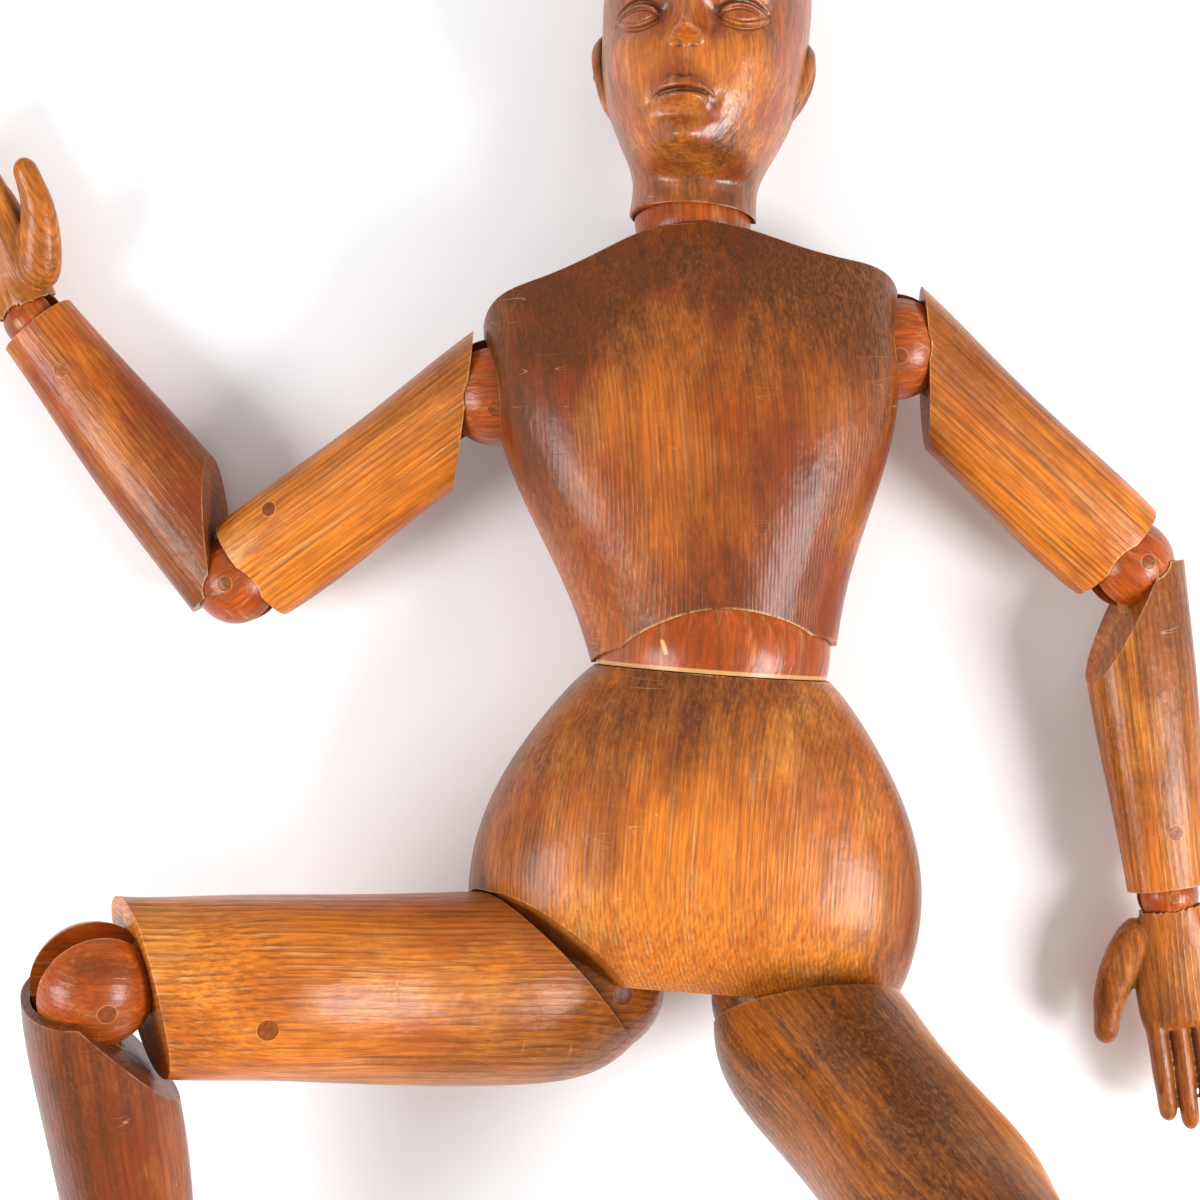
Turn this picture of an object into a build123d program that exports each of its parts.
from build123d import *
import os
from math import cos, pi, sin
from typing import NamedTuple

# Artist's lay figure in turned and carved wood, about half life size, lying on its back.
# Every limb hangs on a ball that turns on its stem and folds about a wooden hinge pin.
# Working axes: x to the figure's left, y towards the head, z up, floor at z = 0.
# Each piece is drawn in its own frame: x along its hinge pin, z away from the body.
# A piece folds towards its own -y side. All lengths are in millimetres.

# --- fits -------------------------------------------------------------------
GAP = 0.4            # free air between pieces that move past each other
RUN = 0.06           # radial clearance of a stem or tongue on its pin
SEAT = 0.02          # radial clearance of pins and pegs driven into their own piece
PEG = 3.0            # radius of the retaining pegs
PEG_WIDE = 4.0       # radius of the thigh and torso pegs

# --- skeleton ---------------------------------------------------------------
CHEST_HEIGHT = 168.0       # waist centre to the top of the chest
NECK_HEIGHT = 172.5        # waist centre to neck centre
SHOULDER = 80.5            # shoulder centre, across from the middle of the chest
SHOULDER_HEIGHT = {-1: 108.5, 1: 116.0}    # above the waist: the left one is carved higher
HIP = (38.0, 138.4)        # hip centre, across and down from the waist centre
UPPER_ARM = 134.0
FOREARM = 137.0
THIGH = 205.0
SHIN = 196.0
SIDES = {"right": -1, "left": 1}


class Swivel(NamedTuple):
    """Ball that turns on a stem and is slotted for the tongue of the next piece."""
    radius: float
    stem: float          # stem radius
    depth: float         # stem end, below the ball centre
    slot: float          # width of the slot
    floor: float         # slot floor, below the ball centre
    pin: float           # hinge pin radius
    tongue: float        # radius of the tongue's rounded end
    reach: float         # how far the tongue runs into its own piece
    groove: float        # centre of the peg groove, below the ball centre
    peg: float = PEG
    run: float = 150.0   # length of the slot; shorter than the ball, it is a blind mortise


WAIST_JOINT = Swivel(47.0, 15.0, 58.0, 18.0, 7.6, 3.5, 7.0, 62.0, 38.0, PEG_WIDE, 32.0)
NECK_JOINT = Swivel(23.5, 8.0, 46.0, 12.0, 9.0, 3.0, 8.0, 36.0, 36.0, PEG, 25.0)
SHOULDER_JOINT = Swivel(21.5, 7.5, 44.0, 12.0, 9.5, 3.0, 8.0, 34.0, 34.0)
ELBOW_JOINT = Swivel(18.5, 6.5, 42.0, 10.0, 9.5, 3.0, 7.0, 38.0, 33.0)
WRIST_JOINT = Swivel(12.6, 4.6, 33.0, 7.0, 6.5, 2.0, 4.6, 20.0, 26.0)
HIP_JOINT = Swivel(24.0, 9.0, 62.0, 14.0, 0.0, 4.0, 22.0, 0.0, 50.0, PEG_WIDE)
KNEE_JOINT = Swivel(23.5, 9.0, 68.0, 13.0, 15.0, 3.5, 8.5, 52.0, 58.0, PEG_WIDE)
ANKLE_JOINT = Swivel(14.5, 5.5, 38.0, 8.0, 8.0, 2.5, 5.5, 18.0, 30.0)

WAIST_FLAT = 9.5           # flat underside of the waist ball, below its centre
THIGH_TOP = 28.5           # radius of the thigh's round top in its hollow of the pelvis


# --- outlines and blanks ----------------------------------------------------
def oval(height, half_width, front, back, power=2.2):
    """Closed superellipse across a limb: half_width along x, front towards -y, back towards +y."""
    middle, half_depth = (back - front) / 2, (back + front) / 2
    points = []
    for step in range(16):
        angle = 2 * pi * step / 16
        across, along = cos(angle), sin(angle)
        x = half_width * abs(across) ** (2 / power) * (1 if across > 0 else -1)
        y = half_depth * abs(along) ** (2 / power) * (1 if along > 0 else -1)
        points.append((x, middle + y))
    with BuildSketch(Plane.XY.offset(height)) as section:
        with BuildLine():
            Spline(*points, periodic=True)
        make_face()
    return section.sketch


def blank(rows):
    """Smooth body through rows of (height, half width, front, back) and, if given, power."""
    with BuildPart() as body:
        loft(sections=[oval(*row) for row in rows])
    return body.part


# --- joint pieces, drawn at the joint centre, z away from the body -------------
def seat_tool(joint, reach=1.0):
    """Hollow that the ball rests in, with the bore that its stem turns in."""
    with BuildPart() as tool:
        Sphere(joint.radius + GAP)
        with BuildSketch():
            Circle(joint.stem + RUN)
        extrude(amount=-joint.depth - reach)
    return tool.part


def peg_tool(joint, angle, radius):
    """Round rod from the stem outwards at an angle about the stem."""
    heading = (cos(angle * pi / 180), sin(angle * pi / 180), 0)
    with BuildPart() as rod:
        with BuildSketch(Plane(origin=(0, 0, -joint.groove), z_dir=heading)):
            Circle(radius)
        extrude(amount=90)
        Cylinder(joint.stem - 2.5 + GAP, 300, mode=Mode.SUBTRACT)
    return rod.part


def make_peg(joint, angle, body, frame):
    """Retaining peg, its outer end dressed flush with the body that it is driven into."""
    with BuildPart() as peg:
        add(peg_tool(joint, angle, joint.peg).moved(frame.location))
        add(body, mode=Mode.INTERSECT)
    return peg.part


def across_tool(radius, half_length):
    """Rod along the hinge axis."""
    with BuildPart() as rod:
        with BuildSketch(Plane.YZ):
            Circle(radius)
        extrude(amount=half_length, both=True)
    return rod.part


def make_pin(joint, radius):
    """Hinge pin, its ends dressed to the ball or cheeks that hold it."""
    with BuildPart() as pin:
        Sphere(radius)
        add(across_tool(joint.pin, radius + 1), mode=Mode.INTERSECT)
    return pin.part


def make_ball(joint, flat=None, cant=0.0):
    """Slotted ball on its stem, with a ring groove for the peg; cant leans slot and pin sideways."""
    with BuildPart() as ball:
        Sphere(joint.radius)
        if flat:
            split(bisect_by=Plane.XY.offset(-flat), keep=Keep.TOP)
        with BuildSketch(Plane.XY.offset(-joint.depth)):
            Circle(joint.stem)
        extrude(amount=joint.depth - joint.floor)
        with Locations(Rotation(0, cant, 0) * Location((0, 0, -joint.floor))):
            Box(joint.slot, joint.run, 3 * joint.radius,
                align=(Align.CENTER, Align.CENTER, Align.MIN), mode=Mode.SUBTRACT)
        with BuildSketch(Plane.XY.offset(-joint.groove)):
            Circle(joint.stem + 1)
            Circle(joint.stem - 2.5, mode=Mode.SUBTRACT)
        extrude(amount=joint.peg + GAP, both=True, mode=Mode.SUBTRACT)
        add(Rotation(0, cant, 0) * across_tool(joint.pin + SEAT, joint.radius + 1), mode=Mode.SUBTRACT)
    return ball.part


def make_knuckle(joint):
    """Hip ball: a flat-sided ball and neck on a stem, gripped between the cheeks of the thigh."""
    thick = joint.slot - 2 * GAP
    with BuildPart() as ball:
        Sphere(joint.radius)
        Box(thick, 90, 90, mode=Mode.INTERSECT)
        with Locations((0, 0, -joint.radius / 2)):
            Box(thick, 1.2 * joint.stem, joint.radius + 18)
        with BuildSketch(Plane.XY.offset(-joint.depth)):
            Circle(joint.stem)
        extrude(amount=joint.depth - THIGH_TOP - 1.5)
        with BuildSketch(Plane.XY.offset(-joint.groove)):
            Circle(joint.stem + 1)
            Circle(joint.stem - 2.5, mode=Mode.SUBTRACT)
        extrude(amount=joint.peg + GAP, both=True, mode=Mode.SUBTRACT)
        add(across_tool(joint.pin + RUN, joint.radius), mode=Mode.SUBTRACT)
    return ball.part


def tongue_tool(joint):
    """Flat tongue that turns on the hinge pin inside the slot of the ball."""
    with BuildPart() as tongue:
        with BuildSketch(Plane.YZ):
            Circle(joint.tongue)
            with Locations((0, joint.reach / 2)):
                Rectangle(1.5 * joint.tongue, joint.reach)
            Circle(joint.pin + RUN, mode=Mode.SUBTRACT)
        extrude(amount=joint.slot / 2 - GAP, both=True)
    return tongue.part


def slant(near, far, towards_body=True):
    """Cutting plane along x through two points (y, z); what lies beyond it is cut away."""
    run, rise = far[0] - near[0], far[1] - near[1]
    normal = Vector(0, rise, -run).normalized()
    if (normal.Z > 0) == towards_body:
        normal = -normal
    return Plane(origin=(0, *near), x_dir=(1, 0, 0), z_dir=normal)


def hang(body, joint, *cuts):
    """Hollow the near end of a limb for its ball, slant its fold side and give it a tongue."""
    with BuildPart() as limb:
        add(body)
        Sphere(joint.radius + GAP, mode=Mode.SUBTRACT)
        for near, far in cuts:
            split(bisect_by=slant(near, far), keep=Keep.BOTTOM)
        add(tongue_tool(joint))
    return limb.part


# --- torso --------------------------------------------------------------------
# Rows of (height, half width, front, back, power), measured from the waist centre.
CHEST_ROWS = [
    (-2.5, 49.5, 42.5, 43, 2.0), (18, 54.5, 45, 45, 2.1), (50, 66.5, 48, 46, 2.4),
    (88, 79.5, 49, 47, 2.6), (118, 83.5, 46, 46, 2.6), (143, 83.5, 38, 41, 2.5),
    (CHEST_HEIGHT, 80, 25, 30, 2.4),
]
SHOULDER_SLOPE = [(82.8, 137), (79, 142.5), (60, 150), (34, 159.5), (15, 166.8), (0, CHEST_HEIGHT)]
PELVIS_ROWS = [
    (-WAIST_FLAT - GAP, 47.3, 46.5, 46, 2.1), (-22, 58.7, 49, 48, 2.2), (-42, 72.7, 51, 50, 2.3),
    (-68, 85.5, 52, 51.5, 2.3), (-94, 91, 51, 52.5, 2.3), (-116, 90, 46, 52, 2.3),
    (-129, 87, 39, 50, 2.3), (-134.5, 85, 34, 48, 2.3),
]
NECK_AT = Plane(origin=(3.2, 0, NECK_HEIGHT))


def shoulder_at(side, hinge=(0, 0, 1)):
    return Plane(origin=(side * SHOULDER, 0, SHOULDER_HEIGHT[side]), x_dir=hinge, z_dir=(side, 0, 0))


def hip_at(side, hinge=(1, 0, 0)):
    return Plane(origin=(side * HIP[0], 0, -HIP[1]), x_dir=hinge, z_dir=(0, 0, -1))


def chest_blank():
    """Barrel of the chest, cut to the sloping line of the shoulders."""
    with BuildPart() as body:
        loft(sections=[oval(*row) for row in CHEST_ROWS])
        with BuildSketch(Plane.XZ):
            with BuildLine():
                Polyline((0, -10), (90, -10), (90, 120), SHOULDER_SLOPE[0])
                Spline(*SHOULDER_SLOPE)
                Line((0, CHEST_HEIGHT), (0, -10))
            make_face()
            mirror(about=Plane.YZ)
        extrude(amount=80, both=True, mode=Mode.INTERSECT)
    return body.part


BACK = 90.0                # pegs of the torso are driven in from the back
# Turns about each hip stem, from rest, that the pelvis leaves room for.
THIGH_ROOM = {-1: (0, -10, -20), 1: (0, -8, -16, 6, 12)}


def make_chest(body):
    """Chest block; its lower rim rises to the front and back, so that it can rock on the waist."""
    with BuildPart() as chest:
        add(body)
        with BuildSketch(Plane.YZ):
            Polygon((0, -2.6), (60, 9), (60, -20), (-60, -20), (-60, 9), align=None)
        extrude(amount=90, both=True, mode=Mode.SUBTRACT)
        Sphere(WAIST_JOINT.radius + GAP, mode=Mode.SUBTRACT)
        add(tongue_tool(WAIST_JOINT))
        add(seat_tool(NECK_JOINT).moved(NECK_AT.location), mode=Mode.SUBTRACT)
        add(peg_tool(NECK_JOINT, BACK, PEG + SEAT).moved(NECK_AT.location), mode=Mode.SUBTRACT)
        for side in SIDES.values():
            place = shoulder_at(side).location
            add(seat_tool(SHOULDER_JOINT).moved(place), mode=Mode.SUBTRACT)
            add(peg_tool(SHOULDER_JOINT, -side * BACK, PEG + SEAT).moved(place), mode=Mode.SUBTRACT)
    return chest.part


def make_pelvis(body, thigh_rests):
    """Pelvis block, hollowed at each hip for the thigh's round top and for the raised thigh."""
    with BuildPart() as pelvis:
        add(body)
        for side, turns in THIGH_ROOM.items():
            room = Part(thigh_rests[side] * thigh_blank(swell=0.9))
            stem = Axis(hip_at(side).origin, (0, 0, -1))
            for turn in turns:
                add(room.rotate(stem, turn), mode=Mode.SUBTRACT)
        add(seat_tool(WAIST_JOINT), mode=Mode.SUBTRACT)
        add(peg_tool(WAIST_JOINT, BACK, WAIST_JOINT.peg + SEAT), mode=Mode.SUBTRACT)
        for side in SIDES.values():
            place = hip_at(side).location
            with Locations(place):
                Sphere(THIGH_TOP + GAP, mode=Mode.SUBTRACT)
                Cylinder(HIP_JOINT.stem + RUN, HIP_JOINT.depth + 1,
                         align=(Align.CENTER, Align.CENTER, Align.MAX), mode=Mode.SUBTRACT)
            add(peg_tool(HIP_JOINT, -BACK, HIP_JOINT.peg + SEAT).moved(place), mode=Mode.SUBTRACT)
    return pelvis.part


# --- head ---------------------------------------------------------------------
HEAD_ROWS = [
    (-0.5, 25.5, 25.5, 25.5), (9, 25, 24.5, 26), (16, 26, 30, 27), (22, 28, 38.5, 29), (30, 32, 45.5, 32),
    (40, 36.5, 48, 37), (55, 40, 49.5, 42), (80, 41.5, 50.5, 46), (105, 40, 49, 46), (125, 33, 39, 39),
    (139, 20, 22, 25), (145, 6, 6, 9),
]
HEAD_TILT = 7.5            # the head is carved leaning to its left on the neck joint, degrees


def head_form():
    """Head and neck with the features as plain carved forms, upright."""
    with BuildPart() as head:
        loft(sections=[oval(*row, 2.15) for row in HEAD_ROWS])
        with BuildSketch(Plane.YZ):
            with BuildLine():
                Polyline((-46, 80), (-50.5, 74), (-60.5, 60), (-59.5, 56), (-49, 54), (-40, 66), (-46, 80))
            make_face()
        extrude(amount=7, both=True, taper=14)
        for side in SIDES.values():
            with Locations(Location((side * 40.3, 5, 48), (0, 90, side * 14))):
                Cylinder(13.5, 5)
    return head.part


def make_head():
    """Head on its neck; the neck's lower rim rises to the front and back, so that it can nod."""
    with BuildPart() as head:
        add(Rotation(0, HEAD_TILT, 0) * head_form())
        with BuildSketch(Plane.YZ):
            Polygon((0, -0.6), (40, 6.6), (40, -20), (-40, -20), (-40, 3.4), align=None)
        extrude(amount=40, both=True, mode=Mode.SUBTRACT)
        Sphere(NECK_JOINT.radius + GAP, mode=Mode.SUBTRACT)
        add(tongue_tool(NECK_JOINT))
    return head.part


# --- limbs ----------------------------------------------------------------------
# Rows of (distance from the near joint, half width, front, back); front is the fold side.
UPPER_ARM_ROWS = [
    (-15, 19, 21, 25), (10, 18.5, 21.5, 25), (45, 17.5, 22, 23.5), (90, 17.5, 24, 23.5), (126.3, 16, 23.5, 23),
]
FOREARM_ROWS = [
    (1, 17, 23.5, 23), (40, 18, 23.5, 22.5), (70, 17, 21.5, 21.5), (105, 14.5, 18.5, 19), (134, 13, 16.5, 17),
]
THIGH_ROWS = [
    (-14, 23, 22, 24), (0, 29, 30, 34), (16, 34.5, 34.5, 38), (45, 36, 36.5, 39.5),
    (110, 34.5, 34.5, 37.5), (160, 31.5, 33.5, 36), (200, 29, 33, 28),
]
SHIN_ROWS = [
    (2, 28, 24, 27), (40, 29, 24.5, 27.5), (75, 29, 25.5, 26), (120, 25, 23, 24),
    (165, 19, 19.5, 20), (187, 17, 17, 18),
]


def carve_far_end(body, length, joint, peg_angle):
    """Seat, bore and peg hole for the ball at the far end of a limb."""
    far = Location((0, 0, length))
    with BuildPart() as limb:
        add(body)
        add(seat_tool(joint).moved(far), mode=Mode.SUBTRACT)
        add(peg_tool(joint, peg_angle, joint.peg + SEAT).moved(far), mode=Mode.SUBTRACT)
    return limb.part


def make_upper_arm(body, peg_angle):
    carved = carve_far_end(body, UPPER_ARM, ELBOW_JOINT, peg_angle)
    return hang(carved, SHOULDER_JOINT, ((25, -13), (-5, 9)), ((0, 17), (-14, 31)))


def make_forearm(body, peg_angle):
    carved = carve_far_end(body, FOREARM, WRIST_JOINT, peg_angle)
    return hang(carved, ELBOW_JOINT, ((-8, 24), (-20.7, 43)))


def make_shin(body, peg_angle):
    carved = carve_far_end(body, SHIN, ANKLE_JOINT, peg_angle)
    return hang(carved, KNEE_JOINT, ((-13, 36.5), (-34, 66)))


def thigh_blank(swell=0.0):
    """Thigh with a round top, slanted on its front so that it folds up to the belly.

    The knee end is cut square to the front and slanted away behind, where the shin folds.
    """
    with BuildPart() as body:
        loft(sections=[oval(z, *[size + swell for size in sizes]) for z, *sizes in THIGH_ROWS])
        split(bisect_by=slant((-8, 20 - 2 * swell), (-37, 50 - 2 * swell)), keep=Keep.BOTTOM)
        split(bisect_by=slant((-35, THIGH - 7), (27, THIGH - 26), towards_body=False), keep=Keep.BOTTOM)
        Sphere(THIGH_TOP + swell)
    return body.part


def make_thigh(body, peg_angle):
    """The thigh's top is a fork whose two cheeks hold the hinge pin."""
    with BuildPart() as thigh:
        add(carve_far_end(body, THIGH, KNEE_JOINT, peg_angle))
        with Locations((0, 0, HIP_JOINT.radius + 1)):
            Box(HIP_JOINT.slot, 100, 90, align=(Align.CENTER, Align.CENTER, Align.MAX), mode=Mode.SUBTRACT)
        add(across_tool(HIP_JOINT.pin + SEAT, 50), mode=Mode.SUBTRACT)
    return thigh.part


# --- hands and feet ---------------------------------------------------------------
PALM_ROWS = [(4, 12.5, 11.5, 12), (14, 14.5, 10, 11), (30, 18, 9, 8.5), (46, 19, 7.5, 7), (53, 18.4, 6, 6)]
FINGER_PITCH = 9.4
FINGER_LENGTHS = (43, 48, 44, 34)          # index to little


def rod(start, end, start_radius, end_radius):
    """Tapered round-ended rod, used for thumbs."""
    path = Vector(*end) - Vector(*start)
    frame = Plane(origin=start, z_dir=path)
    with BuildPart() as shape:
        with Locations(frame.location):
            Cone(start_radius, end_radius, path.length, align=(Align.CENTER, Align.CENTER, Align.MIN))
            Sphere(start_radius)
        with Locations(end):
            Sphere(end_radius)
    return shape.part


def finger(across, length):
    """One finger: slightly swollen at the knuckles and rounded at the tip."""
    start = 50
    rows = [(0, 4.3, 4.8, 5.0), (0.45, 4.1, 4.6, 4.2), (0.85, 3.7, 3.9, 3.4), (1, 1.9, 2.2, 1.4)]
    with BuildPart() as shape:
        loft(sections=[oval(start + part * length, *size) for part, *size in rows])
    return shape.part.moved(Location((across, 0, 0)))


def hand_form(thumb_side):
    """Palm facing -y, four fingers parted by narrow gaps and a free thumb towards one side."""
    with BuildPart() as hand:
        loft(sections=[oval(*row) for row in PALM_ROWS])
        for number, length in enumerate(FINGER_LENGTHS):
            add(finger(thumb_side * FINGER_PITCH * (1.5 - number), length))
        add(rod((thumb_side * 14, -2, 14), (thumb_side * 29, -4, 38), 8.5, 6.8))
        add(rod((thumb_side * 29, -4, 38), (thumb_side * 34.5, -6, 57), 6.2, 4.8))
    return hand.part


def make_hand(side):
    """Carved hand; its wrist hinge stands square to the palm, so the hand swings sideways."""
    with BuildPart() as hand:
        add(Rotation(0, 0, -90) * hand_form(-side))
        Sphere(WRIST_JOINT.radius + GAP, mode=Mode.SUBTRACT)
        add(tongue_tool(WRIST_JOINT))
    return hand.part


FOOT_ROWS = [(2, 16, 17, 18), (10, 17.5, 22, 30), (19, 20, 26, 62), (26, 22, 27.5, 86), (31, 22, 27, 88)]


def make_foot(side):
    """Carved foot: heel to -y, toes to +y, flat sole."""
    with BuildPart() as foot:
        loft(sections=[oval(*row, 2.4) for row in FOOT_ROWS])
        for cut in (-11.5, -3, 4.5, 11.5):
            with Locations((side * cut, 88, 24)):
                Box(0.9, 26, 20, mode=Mode.SUBTRACT)
        Sphere(ANKLE_JOINT.radius + GAP, mode=Mode.SUBTRACT)
        add(tongue_tool(ANKLE_JOINT))
    return foot.part


# --- rest pose --------------------------------------------------------------------
def heading(turn, rise):
    """Unit vector: turn from +x in the floor plane, rise above it, in degrees."""
    turn, rise = turn * pi / 180, rise * pi / 180
    return Vector(cos(turn) * cos(rise), sin(turn) * cos(rise), sin(rise))


def fold(centre, near, far=None, hinge=None, angle=0.0):
    """Frames of a ball and of the piece that hangs on it.

    near is the way the stem points out of its piece, far the way the next piece runs.
    The hinge is square to both, or it is given with the angle that the joint is bent by.
    """
    if far is None:
        hinge = (hinge - near * hinge.dot(near)).normalized()
        bent = angle * pi / 180
        far = near * cos(bent) - near.cross(hinge) * sin(bent)
    else:
        hinge = near.cross(far).normalized()
    ball = Plane(origin=centre, x_dir=hinge, z_dir=near)
    return ball, Plane(origin=centre, x_dir=hinge, z_dir=far)


def end_of(frame, length):
    return frame.origin + frame.z_dir * length


WAIST_CENTRE = Vector(45.6, -19.3, 53)
PELVIS_LEAN, CHEST_LEAN = -4.2, 3.8       # side lean of the two blocks, degrees
WAIST_CANT = PELVIS_LEAN - CHEST_LEAN      # the waist hinge lies square to the chest
HEAD_YAW, HEAD_BACK = -7.0, -4.0
# Direction of each limb at rest, as (turn, rise).
REST = {
    "right_upper_arm": (-145.0, -12.0), "right_forearm": (128.2, -1.5), "right_hand": (118.0, 3.0),
    "left_upper_arm": (-41.2, -10.5), "left_forearm": (-83.2, -0.5), "left_hand": (-81.0, -0.6),
    "right_thigh": (176.5, 24.5), "right_shin": (-86.0, -24.0),
    "left_thigh": (-47.5, 56.0), "left_shin": (-80.0, -45.0),
}


def rest_frames():
    """Frame of every piece in the rest pose, and the hinge frame of every ball."""
    frames = {}
    for name, lean in (("pelvis", PELVIS_LEAN), ("chest", CHEST_LEAN)):
        frames[name] = Plane(origin=WAIST_CENTRE, x_dir=heading(lean, 0), z_dir=heading(90 + lean, 0))
    frames["waist_ball"] = frames["pelvis"]
    chest, pelvis = frames["chest"], frames["pelvis"]
    neck = Plane(chest.location * NECK_AT.location)
    yaw = chest.x_dir.rotate(Axis((0, 0, 0), chest.z_dir), HEAD_YAW)
    frames["neck_ball"], frames["head"] = fold(neck.origin, chest.z_dir, hinge=yaw, angle=HEAD_BACK)
    for name, side in SIDES.items():
        at_shoulder = Plane(chest.location * shoulder_at(side).location)
        frames[f"{name}_shoulder_ball"], arm = fold(
            at_shoulder.origin, at_shoulder.z_dir, heading(*REST[f"{name}_upper_arm"]))
        frames[f"{name}_elbow_ball"], forearm = fold(
            end_of(arm, UPPER_ARM), arm.z_dir, heading(*REST[f"{name}_forearm"]))
        frames[f"{name}_wrist_ball"], hand = fold(
            end_of(forearm, FOREARM), forearm.z_dir, heading(*REST[f"{name}_hand"]))
        at_hip = Plane(pelvis.location * hip_at(side).location)
        frames[f"{name}_hip_ball"], thigh = fold(
            at_hip.origin, at_hip.z_dir, heading(*REST[f"{name}_thigh"]))
        frames[f"{name}_knee_ball"], shin = fold(
            end_of(thigh, THIGH), thigh.z_dir, heading(*REST[f"{name}_shin"]))
        toes_across = shin.x_dir if side < 0 else Vector(1, 0, 0)
        frames[f"{name}_ankle_ball"], foot = fold(
            end_of(shin, SHIN), shin.z_dir, hinge=toes_across, angle=-12 if side > 0 else 0)
        frames.update({f"{name}_upper_arm": arm, f"{name}_forearm": forearm, f"{name}_hand": hand,
                       f"{name}_thigh": thigh, f"{name}_shin": shin, f"{name}_foot": foot})
    return frames


# --- pieces -------------------------------------------------------------------------
PEG_ANGLES = {"upper_arm": 60.0, "forearm": 180.0, "thigh": 160.0, "shin": 180.0}


def torso_pieces(frames):
    """Waist, chest, pelvis, neck and head, each with the frame that it is placed by."""
    chest, pelvis = chest_blank(), blank(PELVIS_ROWS)
    thigh_rests = {side: frames["pelvis"].location.inverse() * frames[f"{name}_thigh"].location
                   for name, side in SIDES.items()}
    yield "pelvis", make_pelvis(pelvis, thigh_rests), frames["pelvis"]
    yield "chest", make_chest(chest), frames["chest"]
    yield "head", make_head(), frames["head"]
    yield "waist_ball", make_ball(WAIST_JOINT, WAIST_FLAT, WAIST_CANT), frames["waist_ball"]
    yield "waist_pin", make_pin(WAIST_JOINT, WAIST_JOINT.radius), frames["chest"]
    yield "waist_peg", make_peg(WAIST_JOINT, BACK, pelvis, Plane.XY), frames["pelvis"]
    yield "neck_ball", make_ball(NECK_JOINT), frames["neck_ball"]
    yield "neck_pin", make_pin(NECK_JOINT, NECK_JOINT.radius), frames["neck_ball"]
    yield "neck_peg", make_peg(NECK_JOINT, BACK, chest, NECK_AT), frames["chest"]
    for name, side in SIDES.items():
        yield (f"{name}_shoulder_peg", make_peg(SHOULDER_JOINT, -side * BACK, chest, shoulder_at(side)),
               frames["chest"])
        yield f"{name}_hip_peg", make_peg(HIP_JOINT, -BACK, pelvis, hip_at(side)), frames["pelvis"]


def limb_pieces(frames):
    """Arms and legs of both sides."""
    blanks = {"upper_arm": blank(UPPER_ARM_ROWS), "forearm": blank(FOREARM_ROWS),
              "thigh": thigh_blank(), "shin": blank(SHIN_ROWS)}
    carved = {"upper_arm": make_upper_arm, "forearm": make_forearm, "thigh": make_thigh, "shin": make_shin}
    far_joints = {"upper_arm": ("elbow", ELBOW_JOINT, UPPER_ARM), "forearm": ("wrist", WRIST_JOINT, FOREARM),
                  "thigh": ("knee", KNEE_JOINT, THIGH), "shin": ("ankle", ANKLE_JOINT, SHIN)}
    for name, side in SIDES.items():
        shoulder = frames[f"{name}_shoulder_ball"]
        yield f"{name}_shoulder_ball", make_ball(SHOULDER_JOINT), shoulder
        yield f"{name}_shoulder_pin", make_pin(SHOULDER_JOINT, SHOULDER_JOINT.radius), shoulder
        yield f"{name}_hip_ball", make_knuckle(HIP_JOINT), frames[f"{name}_hip_ball"]
        yield f"{name}_hip_pin", make_pin(HIP_JOINT, THIGH_TOP), frames[f"{name}_thigh"]
        for limb, body in blanks.items():
            joint_name, joint, length = far_joints[limb]
            angle = PEG_ANGLES[limb]
            far = Plane(origin=(0, 0, length))
            ball = frames[f"{name}_{joint_name}_ball"]
            yield f"{name}_{limb}", carved[limb](body, angle), frames[f"{name}_{limb}"]
            yield f"{name}_{joint_name}_peg", make_peg(joint, angle, body, far), frames[f"{name}_{limb}"]
            yield f"{name}_{joint_name}_ball", make_ball(joint), ball
            yield f"{name}_{joint_name}_pin", make_pin(joint, joint.radius), ball
        yield f"{name}_hand", make_hand(side), frames[f"{name}_hand"]
        yield f"{name}_foot", make_foot(side), frames[f"{name}_foot"]


def place_on_floor(pieces):
    """Shift of the whole figure that puts its box centre over the origin, resting on z = 0."""
    boxes = [piece.bounding_box() for piece in pieces.values()]
    low = [min(getattr(box.min, axis) for box in boxes) for axis in "XYZ"]
    high = [max(getattr(box.max, axis) for box in boxes) for axis in "XYZ"]
    return Location((-(low[0] + high[0]) / 2, -(low[1] + high[1]) / 2, -low[2]))


FRAMES = rest_frames()
PIECES = {}
for maker in (torso_pieces, limb_pieces):
    for label, piece, frame in maker(FRAMES):
        PIECES[label] = piece.moved(frame.location)
SHIFT = place_on_floor(PIECES)

os.makedirs("parts", exist_ok=True)
for label, piece in PIECES.items():
    placed = piece.moved(SHIFT)
    placed.label = label
    export_step(placed, f"parts/{label}.step")
